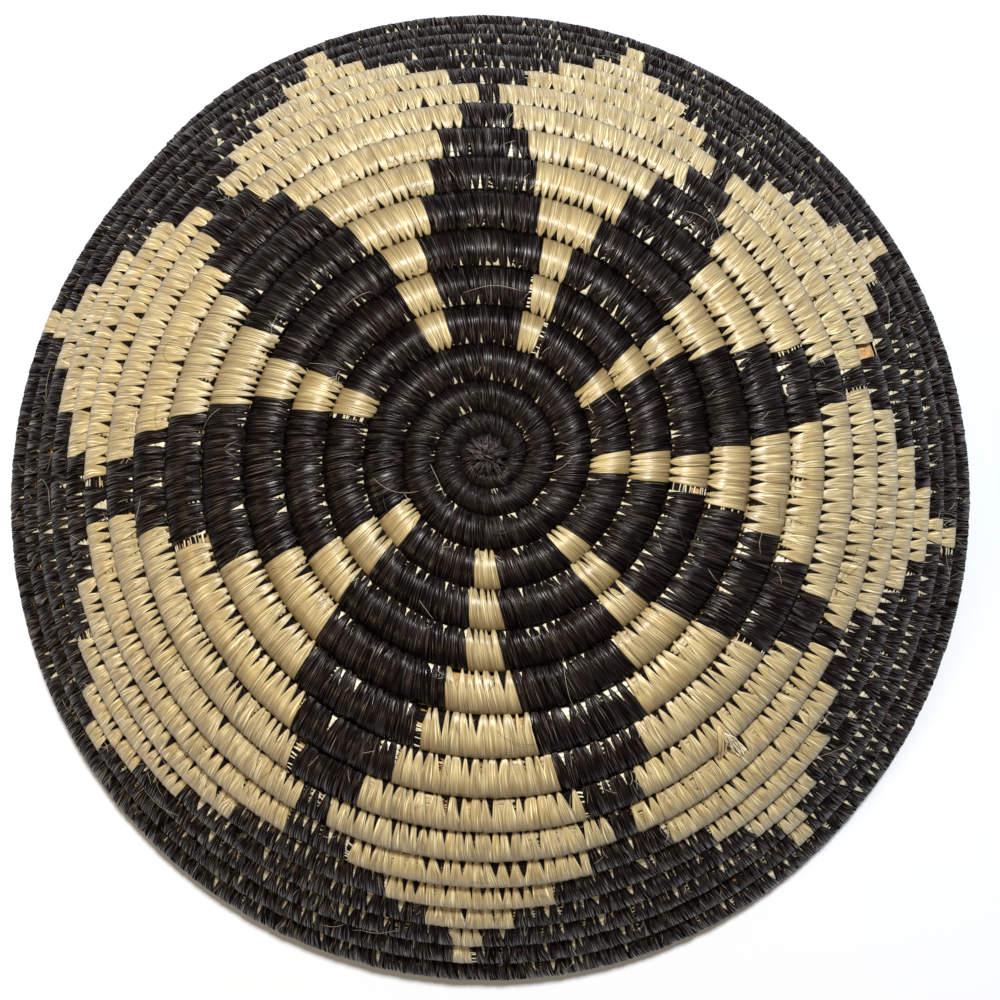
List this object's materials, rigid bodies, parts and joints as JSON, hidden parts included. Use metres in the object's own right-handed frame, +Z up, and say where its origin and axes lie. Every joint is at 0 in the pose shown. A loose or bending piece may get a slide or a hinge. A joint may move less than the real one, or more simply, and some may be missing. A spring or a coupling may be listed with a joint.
{
  "type": "coiled basket",
  "caption": "Shallow round bowl coiled from a grass core wrapped in dark and cream sisal, with a flower of pointed petals, lying on its rim.",
  "frame": {"origin": "middle of the rim's bounding box, in the plane that the rim rests on", "axes": "+Z up through the bowl's closed base, which is on top; the bowl opens downward, and -Y is toward the picture's lower edge"},
  "size_m": [0.2952, 0.2996, 0.0919],
  "materials": {
    "dark_sisal": "black-dyed sisal fibre, stitched close, satin",
    "cream_sisal": "undyed cream sisal fibre, stitched close, satin",
    "grass_core": "dried grass stems, matte"
  },
  "bodies": {
    "root": {"start_knot": "dark_sisal", "foundation_coil": "grass_core", "dark_centre_wrap": "dark_sisal", "cream_petal_01": "cream_sisal", "cream_petal_02": "cream_sisal", "cream_petal_03": "cream_sisal", "cream_petal_04": "cream_sisal", "cream_petal_05": "cream_sisal", "cream_petal_06": "cream_sisal", "cream_petal_07": "cream_sisal", "cream_petal_08": "cream_sisal", "dark_field_01": "dark_sisal", "dark_field_02": "dark_sisal", "dark_field_03": "dark_sisal", "dark_field_04": "dark_sisal", "dark_field_05": "dark_sisal", "dark_field_06": "dark_sisal", "dark_field_07": "dark_sisal", "dark_field_08": "dark_sisal", "dark_rim_wrap": "dark_sisal"}
  },
  "joints": []
}
